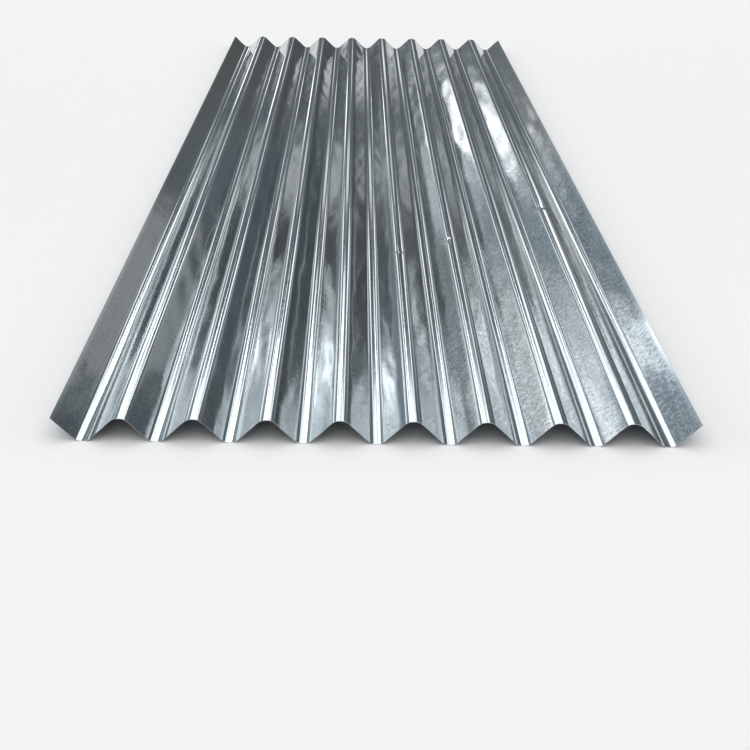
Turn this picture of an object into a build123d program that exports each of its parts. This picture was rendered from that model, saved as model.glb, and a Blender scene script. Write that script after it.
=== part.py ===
from build123d import *

import os

# Corrugated galvanised steel sheet, roll-formed in one piece from a flat strip.
#
# The waves run the whole length of the sheet. Their flanks are straight, and each crest and each
# valley is a narrow flat between two bends. Both side edges end on a flank that rises from the
# outermost valley, so the sheet laps over its neighbours, and both ends are sheared square.
#
# The sheet lies on the floor on its valleys: X runs across the waves, Y along them and Z up, and
# the origin is on the floor under the middle of the sheet. All sizes are in millimetres.

# The strip
length = 2440.0
thickness = 0.5

# The waves, measured on the middle of the strip's thickness. A crest or valley width is the
# distance between the two corners where its flat would meet the flanks without the bends.
valley_count = 9
pitch = 75.0
depth = 25.0
crest_width = 11.0
valley_width = 11.0
bend_radius = 10.0

# How far the side edges stop below the crests
edge_drop = 0.25

# Run of a flank across the waves, whole and as cut short at the side edges
flank_run = (pitch - crest_width - valley_width) / 2
edge_run = flank_run * (depth - edge_drop) / depth

# Heights of the strip's middle above the floor
valley_z = thickness / 2
crest_z = valley_z + depth
edge_z = crest_z - edge_drop


def strip_corners():
    """Corners of the strip's middle line, from the left side edge to the right one."""
    outermost_valley = (valley_count - 1) / 2 * pitch
    edge_x = outermost_valley + valley_width / 2 + edge_run

    corners = [(-edge_x, edge_z)]
    for wave in range(valley_count):
        valley_x = wave * pitch - outermost_valley
        corners.append((valley_x - valley_width / 2, valley_z))
        corners.append((valley_x + valley_width / 2, valley_z))
        if wave < valley_count - 1:
            crest_x = valley_x + pitch / 2
            corners.append((crest_x - crest_width / 2, crest_z))
            corners.append((crest_x + crest_width / 2, crest_z))
    corners.append((edge_x, edge_z))
    return corners


# The sheet: its section is drawn across the waves and extruded along them
with BuildPart() as corrugated_sheet:
    with BuildSketch(Plane.XZ):
        with BuildLine():
            FilletPolyline(*strip_corners(), radius=bend_radius)
        trace(line_width=thickness)
    extrude(amount=length / 2, both=True)

corrugated_sheet.part.label = "corrugated_sheet"

os.makedirs("parts", exist_ok=True)
export_step(corrugated_sheet.part, "parts/corrugated_sheet.step")
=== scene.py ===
import math

import bpy
from mathutils import Matrix, Vector


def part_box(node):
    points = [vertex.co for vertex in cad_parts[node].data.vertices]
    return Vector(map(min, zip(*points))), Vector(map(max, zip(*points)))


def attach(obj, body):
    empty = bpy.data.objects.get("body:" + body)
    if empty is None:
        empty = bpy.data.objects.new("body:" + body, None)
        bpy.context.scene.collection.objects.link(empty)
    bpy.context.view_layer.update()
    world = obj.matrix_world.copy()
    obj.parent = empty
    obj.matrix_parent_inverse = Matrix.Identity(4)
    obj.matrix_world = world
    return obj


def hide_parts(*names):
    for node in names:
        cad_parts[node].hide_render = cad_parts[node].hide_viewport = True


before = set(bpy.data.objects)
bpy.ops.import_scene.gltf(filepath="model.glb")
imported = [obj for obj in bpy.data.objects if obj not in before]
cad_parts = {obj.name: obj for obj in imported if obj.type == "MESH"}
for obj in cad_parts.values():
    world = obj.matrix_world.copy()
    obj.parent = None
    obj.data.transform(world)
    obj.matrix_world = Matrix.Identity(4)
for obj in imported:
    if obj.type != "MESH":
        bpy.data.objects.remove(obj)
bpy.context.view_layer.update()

# The sheet's form. The real sheet is one steel strip that a row of rolls bent into waves, so its
# flats and flanks are drawn as one flat strip after another, from the left-hand valley to the
# side edges, and the lines between them are then bent to the radius of the rolls.
SHEET = "corrugated_sheet"
WAVES = 9
PITCH = 0.075
FLAT_WIDTH = 0.011
STRIP_THICKNESS = 0.0005
BEND_RADIUS = 0.010
EDGE_DROP = 0.00025
BEND_STEPS = 5
ROUND_PROFILE = 0.5
FLANK_CUTS = 5
LENGTH_CUTS = 119

low, high = (Vector(corner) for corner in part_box(SHEET))
length = high.y - low.y
depth = high.z - low.z - STRIP_THICKNESS
flank_run = PITCH / 2 - FLAT_WIDTH
flank_angle = math.atan2(depth, flank_run)
bend_setback = BEND_RADIUS * math.tan(flank_angle / 2)
edge_share = (depth - EDGE_DROP) / depth
valley_level = low.z + STRIP_THICKNESS / 2
first_valley = (low.x + high.x) / 2 - (WAVES - 1) / 2 * PITCH


def edges_at(mesh, test):
    """Selects, in edit mode, only the edges whose two ends pass a test."""
    bpy.ops.mesh.select_all(action="DESELECT")
    bpy.ops.object.mode_set(mode="OBJECT")
    for edge in mesh.edges:
        start, end = (mesh.vertices[index].co for index in edge.vertices)
        edge.select = test(start, end)
    bpy.ops.object.mode_set(mode="EDIT")


def draw_strip(run, rise):
    """Extrudes the selected edge across the sheet, into the next flat or flank."""
    bpy.ops.mesh.extrude_region_move(TRANSFORM_OT_translate={"value": (run, 0, rise)})


bpy.ops.object.select_all(action="DESELECT")
bpy.ops.mesh.primitive_plane_add(size=1, location=(first_valley, 0, valley_level))
sheet = bpy.context.object
sheet.name = "galvanised_sheet"
sheet.scale = (FLAT_WIDTH, length, 1)
bpy.ops.object.transform_apply(location=True, rotation=True, scale=True)
bpy.ops.object.mode_set(mode="EDIT")
bpy.ops.mesh.select_mode(type="EDGE")

edges_at(sheet.data, lambda start, end: max(start.x, end.x) < first_valley)
draw_strip(-flank_run * edge_share, depth * edge_share)

edges_at(sheet.data, lambda start, end: min(start.x, end.x) > first_valley)
for wave in range(WAVES - 1):
    draw_strip(flank_run, depth)
    draw_strip(FLAT_WIDTH, 0)
    draw_strip(flank_run, -depth)
    draw_strip(FLAT_WIDTH, 0)
draw_strip(flank_run * edge_share, depth * edge_share)


def runs_lengthwise(start, end):
    """True for an edge along the waves."""
    return abs(end.y - start.y) > abs(end.x - start.x)


side_edge = high.x - flank_run / 2
bpy.ops.mesh.select_all(action="SELECT")
bpy.ops.mesh.normals_make_consistent(inside=False)
edges_at(sheet.data, lambda start, end: runs_lengthwise(start, end) and abs(start.x) < side_edge)
bpy.ops.mesh.bevel(offset_type="OFFSET", offset=bend_setback, segments=BEND_STEPS,
                   profile=ROUND_PROFILE, clamp_overlap=False)

flank_step = flank_run / 2
edges_at(sheet.data, lambda start, end: abs(end.x - start.x) > flank_step)
bpy.ops.mesh.subdivide(number_cuts=FLANK_CUTS)
edges_at(sheet.data, runs_lengthwise)
bpy.ops.mesh.subdivide(number_cuts=LENGTH_CUTS)

# The marks of use. Strip as thin as this never leaves the rolls quite flat: each flank bulges a
# little, in or out, between bends that stay straight, and handling has dented three crests.
DENTS = (
    {"place": (0.2625, -0.38), "depth": 0.0016, "reach": 0.016},
    {"place": (0.1070, -0.56), "depth": 0.0012, "reach": 0.010},
    {"place": (0.0375, -0.62), "depth": 0.0007, "reach": 0.012},
)
DENT_CUTS = 3
BULGE = 0.0016
BULGE_LENGTH = 0.11
# Share of the waves' depth, above and below their middle, over which a flank can bulge
FLANK_SHARE = 0.4
SMOOTH_ANGLE = math.radians(40)


def crosses_dent(start, end):
    """True for an edge along the waves that passes a dent."""
    middle = (start.y + end.y) / 2
    near_dent = any(abs(middle - dent["place"][1]) < dent["reach"] for dent in DENTS)
    return near_dent and runs_lengthwise(start, end)


edges_at(sheet.data, crosses_dent)
bpy.ops.mesh.subdivide(number_cuts=DENT_CUTS)
bpy.ops.mesh.select_mode(type="VERT")
for dent in DENTS:
    bpy.ops.mesh.select_all(action="DESELECT")
    bpy.ops.object.mode_set(mode="OBJECT")
    centre = Vector(dent["place"])
    min(sheet.data.vertices, key=lambda vertex: (vertex.co.xy - centre).length).select = True
    bpy.ops.object.mode_set(mode="EDIT")
    bpy.ops.transform.translate(value=(0, 0, -dent["depth"]), use_proportional_edit=True,
                                proportional_edit_falloff="SMOOTH", proportional_size=dent["reach"])
bpy.ops.object.mode_set(mode="OBJECT")

flanks = sheet.vertex_groups.new(name="flanks")
for vertex in sheet.data.vertices:
    from_middle = (vertex.co.z - valley_level) / depth - 0.5
    hold = max(0.0, 1 - (from_middle / FLANK_SHARE) ** 2)
    flanks.add([vertex.index], hold ** 2, "REPLACE")
waviness = bpy.data.textures.new("flank_waviness", "CLOUDS")
waviness.noise_scale = BULGE_LENGTH
bulge = sheet.modifiers.new("flanks_bulge", "DISPLACE")
bulge.texture = waviness
bulge.texture_coords = "LOCAL"
bulge.vertex_group = flanks.name
bulge.strength = BULGE
bulge.mid_level = 0.5
bpy.ops.object.modifier_apply(modifier=bulge.name)

wall = sheet.modifiers.new("strip_thickness", "SOLIDIFY")
wall.thickness = STRIP_THICKNESS
wall.offset = 0
wall.use_even_offset = True
wall.material_offset_rim = 1
bpy.ops.object.modifier_apply(modifier=wall.name)
bpy.ops.object.shade_smooth_by_angle(angle=SMOOTH_ANGLE)
level = sheet.modifiers.new("flats_stay_flat", "WEIGHTED_NORMAL")
level.keep_sharp = True
bpy.ops.object.modifier_apply(modifier=level.name)

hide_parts(SHEET)
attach(sheet, "root")


# The zinc. The strip was dipped in molten zinc, which froze in fine crystals that each lie at a
# slight tilt of their own. The rolls then left faint lines along the sheet. The flanks keep more
# of their crystals, and their colour is darkened by painted shade.
class Wire:
    """An output of a shader node. Arithmetic on wires adds Math nodes to their tree."""

    def __init__(self, tree, socket=None):
        self.tree = tree
        self.socket = socket

    def node(self, kind, output, inputs, **settings):
        """Adds a node to the same tree: its settings first, then its values and links."""
        made = self.tree.nodes.new(kind)
        for name, value in settings.items():
            setattr(made, name, value)
        for key, value in inputs.items():
            if isinstance(value, Wire):
                self.tree.links.new(value.socket, made.inputs[key])
            else:
                made.inputs[key].default_value = value
        return Wire(self.tree, made.outputs[output])

    def feed(self, shader, name):
        """Links this wire to a socket of a shader."""
        self.tree.links.new(self.socket, shader.inputs[name])

    def noise(self, scale, detail):
        """Noise at the place that this wire gives."""
        return self.node("ShaderNodeTexNoise", "Fac", {"Vector": self, "Scale": scale, "Detail": detail})

    def coordinate(self, axis):
        """One coordinate of the place that this wire gives."""
        return self.node("ShaderNodeSeparateXYZ", axis, {"Vector": self})

    def ramp(self, start, end, first=0.0, last=1.0):
        """Goes from the first value to the last while this wire goes from start to end."""
        return self.node("ShaderNodeMapRange", 0, {"Value": self, "From Min": start, "From Max": end,
                                                   "To Min": first, "To Max": last})

    def mix(self, first, second):
        """Goes from the first colour to the second while this wire goes from 0 to 1."""
        return self.node("ShaderNodeMix", 2, {0: self, 6: first, 7: second}, data_type="RGBA")

    def math(self, operation, first, second):
        return self.node("ShaderNodeMath", 0, {0: first, 1: second}, operation=operation)

    def __abs__(self):
        return self.math("ABSOLUTE", self, 0.0)

    def __add__(self, other):
        return self.math("ADD", self, other)

    def __sub__(self, other):
        return self.math("SUBTRACT", self, other)

    def __rsub__(self, other):
        return self.math("SUBTRACT", other, self)

    def __mul__(self, other):
        return self.math("MULTIPLY", self, other)

    __radd__ = __add__
    __rmul__ = __mul__


def new_material(name):
    """A material with a plain Principled shader, and a wire to start its nodes from."""
    material = bpy.data.materials.new(name)
    material.use_nodes = True
    return material, Wire(material.node_tree), material.node_tree.nodes["Principled BSDF"]


BLACK = (0, 0, 0, 1)
ZINC_COLOUR = (0.53, 0.59, 0.625, 1)
SPECK_COLOUR = (0.16, 0.13, 0.11, 1)

# Sizes in metres, and patterns that repeat so many times in a metre
CRYSTAL_SIZE = 0.0028
SPECK_SPACING = 0.07
SPECK_RADIUS = 0.0016
ROLL_LINES = (150.0, 0.7, 150.0)
DULL_PATCHES = 4.0
GRAINS = 260.0
GRAIN_HEIGHT = 0.000003
ROLL_HEIGHT = 0.000016

# The crystals show more and more from one place across the sheet to another, with a ragged border
SPANGLE_START = 0.17
SPANGLE_FULL = 0.33
SPANGLE_LEAST = 0.25
SPANGLE_RAGGED = 0.3

# Heights above or below the waves' middle, as shares of their depth, between which a flat turns
# into a flank, whose colour is darkened by painted shade
FLAT_HEIGHT = 0.47
FLANK_HEIGHT = 0.33

# How much each mark changes the brightness, the roughness and the tilt of the zinc
PLAIN_TONE = 0.86
CRYSTAL_TONE = 0.10
ROLL_TONE = 0.10
DULL_TONE = 0.06
# Painted shade: the share by which the flanks' colour is darkened
PAINTED_FLANK_SHADE = 0.34
SPANGLE_TONE = 0.34
SPECK_STRENGTH = 0.8
PLAIN_ROUGHNESS = 0.03
CRYSTAL_ROUGHNESS = 0.02
DULL_ROUGHNESS = 0.06
ROLL_ROUGHNESS = 0.02
SPANGLE_ROUGHNESS = 0.04
SPECK_ROUGHNESS = 0.3
NO_TILT = (0.5, 0.5, 0.5)
FLAT_TILT = 0.002
FLANK_TILT = 0.015

zinc, wire, shader = new_material("galvanised_zinc")
shader.inputs["Metallic"].default_value = 1.0
place = wire.node("ShaderNodeTexCoord", "Object", {})

crystal = wire.node("ShaderNodeTexVoronoi", "Color", {"Vector": place, "Scale": 1 / CRYSTAL_SIZE})
crystal_mark = wire.node("ShaderNodeSeparateColor", 0, {"Color": crystal})
roll_place = wire.node("ShaderNodeMapping", 0, {"Vector": place, "Scale": ROLL_LINES})
roll_mark = roll_place.noise(scale=1.0, detail=3.0)
dull = place.noise(scale=DULL_PATCHES, detail=4.0)
spangle = place.coordinate("X") + SPANGLE_RAGGED * dull
spangle = spangle.ramp(SPANGLE_START, SPANGLE_FULL, first=SPANGLE_LEAST)
off_middle = abs(place.coordinate("Z") - (low.z + high.z) / 2)
flank = off_middle.ramp(FLAT_HEIGHT * depth, FLANK_HEIGHT * depth)
speck_distance = wire.node("ShaderNodeTexVoronoi", "Distance", {"Vector": place, "Scale": 1 / SPECK_SPACING})
speck_edge = SPECK_RADIUS / SPECK_SPACING
speck = speck_distance.ramp(speck_edge, speck_edge / 2, last=SPECK_STRENGTH)

tone = PLAIN_TONE + CRYSTAL_TONE * crystal_mark + ROLL_TONE * roll_mark + DULL_TONE * dull
# Painted shade darkens the flanks' colour, and the crystals' own tone varies at random on them
tone = tone - PAINTED_FLANK_SHADE * flank + SPANGLE_TONE * spangle * flank * (crystal_mark - 0.5)
speck.mix(tone.mix(BLACK, ZINC_COLOUR), SPECK_COLOUR).feed(shader, "Base Color")

rough = PLAIN_ROUGHNESS + CRYSTAL_ROUGHNESS * crystal_mark + DULL_ROUGHNESS * dull
rough = rough + ROLL_ROUGHNESS * roll_mark + SPANGLE_ROUGHNESS * spangle + SPECK_ROUGHNESS * speck
rough.feed(shader, "Roughness")

surface = wire.node("ShaderNodeNewGeometry", "Normal", {})
tilt = FLAT_TILT + (FLANK_TILT - FLAT_TILT) * flank * spangle
lean = wire.node("ShaderNodeVectorMath", 0, {0: crystal, 1: NO_TILT}, operation="SUBTRACT")
lean = wire.node("ShaderNodeVectorMath", 0, {0: lean, "Scale": tilt}, operation="SCALE")
facet = wire.node("ShaderNodeVectorMath", 0, {0: surface, 1: lean}, operation="ADD")
facet = wire.node("ShaderNodeVectorMath", 0, {0: facet}, operation="NORMALIZE")
skin_height = GRAIN_HEIGHT * place.noise(scale=GRAINS, detail=2.0) + ROLL_HEIGHT * roll_mark
skin = wire.node("ShaderNodeBump", 0, {"Height": skin_height, "Distance": 1.0, "Strength": 1.0,
                                       "Normal": facet})
skin.feed(shader, "Normal")
sheet.data.materials.append(zinc)

# The sheared edges. The shears cut through the zinc, so bare steel shows around the rim of the
# sheet, burnished in some places and torn and duller in others.
STEEL_COLOUR = (0.44, 0.45, 0.46, 1)
TORN_COLOUR = (0.20, 0.20, 0.20, 1)
TORN_PATCHES = 900.0
STEEL_ROUGHNESS = 0.3
TORN_ROUGHNESS = 0.3

cut, wire, shader = new_material("sheared_edge")
shader.inputs["Metallic"].default_value = 1.0
place = wire.node("ShaderNodeTexCoord", "Object", {})
torn = place.noise(scale=TORN_PATCHES, detail=3.0)
torn.mix(STEEL_COLOUR, TORN_COLOUR).feed(shader, "Base Color")
(STEEL_ROUGHNESS + TORN_ROUGHNESS * torn).feed(shader, "Roughness")
sheet.data.materials.append(cut)

# The floor and the light. A plain pale floor lies under soft lamps that stand apart, and the metal
# mirrors the dull walls between them.
FLOOR_SIZE = 60
FLOOR_COLOUR = (0.90, 0.88, 0.87, 1)
FLOOR_ROUGHNESS = 0.9
FLOOR_SHINE = 0.1

bpy.ops.mesh.primitive_plane_add(size=FLOOR_SIZE, location=(0, 0, low.z))
floor = bpy.context.object
floor.name = "floor"
paint, wire, shader = new_material("pale_floor")
shader.inputs["Base Color"].default_value = FLOOR_COLOUR
shader.inputs["Roughness"].default_value = FLOOR_ROUGHNESS
shader.inputs["Specular IOR Level"].default_value = FLOOR_SHINE
floor.data.materials.append(paint)

# Brightness of the walls, which are darker at the foot and mottled, and their two tints
LEFT_WALL_LIGHT = 0.58
RIGHT_WALL_LIGHT = 0.20
CEILING_LIGHT = 0.30
FOOT_SHADE = 0.4
MOTTLE_LEAST = 0.15
MOTTLE_RANGE = 1.5
MOTTLE_SCALE = 7.0
COOL_TINT = (0.80, 0.97, 1.10, 1)
PALE_TINT = (0.96, 1.00, 0.98, 1)
TINT_SCALE = 11.0
TINT_START = 0.35
TINT_END = 0.65

# Where the left-hand wall ends and the right-hand one starts, and the heights at which the foot of
# the walls ends and the ceiling starts, all as parts of a direction one unit long
LEFT_WALL_END = -0.35
RIGHT_WALL_START = -0.12
FOOT_START = math.sin(math.radians(1))
FOOT_END = math.sin(math.radians(8))
WALL_START = math.sin(math.radians(12))
CEILING_START = math.sin(math.radians(60))

world = bpy.context.scene.world or bpy.data.worlds.new("studio_walls")
bpy.context.scene.world = world
world.use_nodes = True
background = world.node_tree.nodes["Background"]
direction = Wire(world.node_tree).node("ShaderNodeTexCoord", "Generated", {})
height = direction.coordinate("Z")
side_light = direction.coordinate("X").ramp(LEFT_WALL_END, RIGHT_WALL_START,
                                            LEFT_WALL_LIGHT, RIGHT_WALL_LIGHT)
wall_light = height.ramp(WALL_START, CEILING_START, side_light, CEILING_LIGHT)
foot = height.ramp(FOOT_START, FOOT_END, first=FOOT_SHADE)
mottle = MOTTLE_LEAST + MOTTLE_RANGE * direction.noise(scale=MOTTLE_SCALE, detail=1.0)
tint = direction.noise(scale=TINT_SCALE, detail=0.0).ramp(TINT_START, TINT_END)
tint.mix(COOL_TINT, PALE_TINT).feed(background, "Color")
(wall_light * foot * mottle).feed(background, "Strength")

LAMP_RADIUS = 9.0


def add_softbox(name, bearing, rise, width, tall, radiance):
    """A soft rectangular lamp of an even brightness, unseen by the camera. Its bearing from the
    far end, its rise above the floor and its width and height are angles seen from the sheet."""
    bearing, rise, width, tall = (math.radians(angle) for angle in (bearing, rise, width, tall))
    ahead = Vector((math.sin(bearing), math.cos(bearing), 0))
    place = LAMP_RADIUS * (math.cos(rise) * ahead + math.sin(rise) * Vector((0, 0, 1)))
    bpy.ops.object.light_add(type="AREA", location=place)
    lamp = bpy.context.object
    lamp.name = name
    lamp.data.shape = "RECTANGLE"
    lamp.data.size = 2 * LAMP_RADIUS * math.tan(width / 2)
    lamp.data.size_y = 2 * LAMP_RADIUS * math.tan(tall / 2)
    lamp.data.energy = radiance * math.pi * lamp.data.size * lamp.data.size_y
    lamp.rotation_euler = place.to_track_quat("Z", "Y").to_euler()
    lamp.visible_camera = False


# Each lamp's name, bearing, rise, width and height in degrees, and brightness
SOFTBOXES = (
    ("overhead_softbox", 0, 90, 90, 90, 0.48),
    ("overhead_strip", 0, 90, 90, 11, 0.9),
    ("far_overhead_strip", 0, 70, 90, 11, 0.9),
    ("far_high_strip", 0, 50, 90, 11, 0.9),
    ("near_overhead_strip", 180, 70, 90, 11, 0.9),
    ("near_high_strip", 180, 50, 90, 11, 0.9),
    ("far_left_softbox", -7.5, 35, 12.0, 21, 1.8),
    ("far_top_softbox", 3.3, 35.2, 6.0, 21.6, 1.6),
    ("far_right_softbox", 11, 35, 6.5, 21, 1.8),
    ("far_core_left", -4.6, 24.0, 1.8, 1.6, 8.0),
    ("far_core_right", -1.5, 23.2, 1.8, 1.5, 8.0),
    ("far_glow_softbox", -1.0, 20.8, 2.2, 3.4, 1.6),
    ("far_mid_softbox", -0.6, 14.3, 4.0, 3.0, 0.9),
    ("far_left_spot", -13, 22.8, 2.6, 3.5, 3.0),
    ("far_left_strip", -10.5, 17.5, 3.2, 11, 1.4),
    ("far_right_strip", 10.5, 18.5, 3.6, 11, 1.6),
    ("low_left_softbox", -10.3, 5.4, 3.2, 2.8, 2.6),
    ("low_left_glow", -14, 4.2, 4.0, 3.0, 0.6),
    ("side_left_softbox", -19.6, 14.0, 2.2, 2.2, 2.4),
    ("dim_left_softbox", -22, 10, 8, 5.5, 0.7),
    ("left_glow_softbox", -24, 12, 4, 2.2, 1.6),
    ("dim_right_softbox", 18, 11, 9, 6, 0.3),
    ("low_far_softbox", 1.3, 9.2, 2.2, 2.0, 1.2),
    ("near_left_softbox", -172.5, 33, 12, 24, 1.8),
    ("near_top_softbox", 176.7, 34, 6, 22, 1.6),
    ("near_right_softbox", 169, 33, 6.5, 24, 1.8),
    ("near_left_strip", -169.5, 15, 3.2, 12, 1.4),
    ("near_right_strip", 169.5, 16, 3.6, 12, 1.6),
    ("near_mid_softbox", 179, 14, 4, 4, 1.0),
    ("near_low_left", -160, 8, 7, 5, 0.9),
    ("near_low_right", 161, 8, 7, 5, 0.7),
    ("left_softbox", -90, 22, 100, 24, 0.8),
    ("right_softbox", 90, 22, 100, 24, 0.8),
)
for softbox in SOFTBOXES:
    add_softbox(*softbox)

# The camera stands in front of the near end, at the height and distance fitted to the photograph
# of the real sheet, and looks along the waves.
CAMERA_PLACE = (-0.025, -2.621, 0.630)
LOOK_DOWN = math.radians(21.57)
TURN = math.radians(-0.9)
LEAN = math.radians(1.0)
LENS = 72.15
SENSOR_WIDTH = 36

turned = Matrix.Rotation(TURN, 4, "Z") @ Matrix.Rotation(math.pi / 2 - LOOK_DOWN, 4, "X")
turned = turned @ Matrix.Rotation(LEAN, 4, "Z")
bpy.ops.object.camera_add(location=CAMERA_PLACE, rotation=turned.to_euler())
camera = bpy.context.object
camera.data.lens = LENS
camera.data.sensor_width = SENSOR_WIDTH
bpy.context.scene.camera = camera
bpy.context.scene.view_settings.view_transform = "Standard"
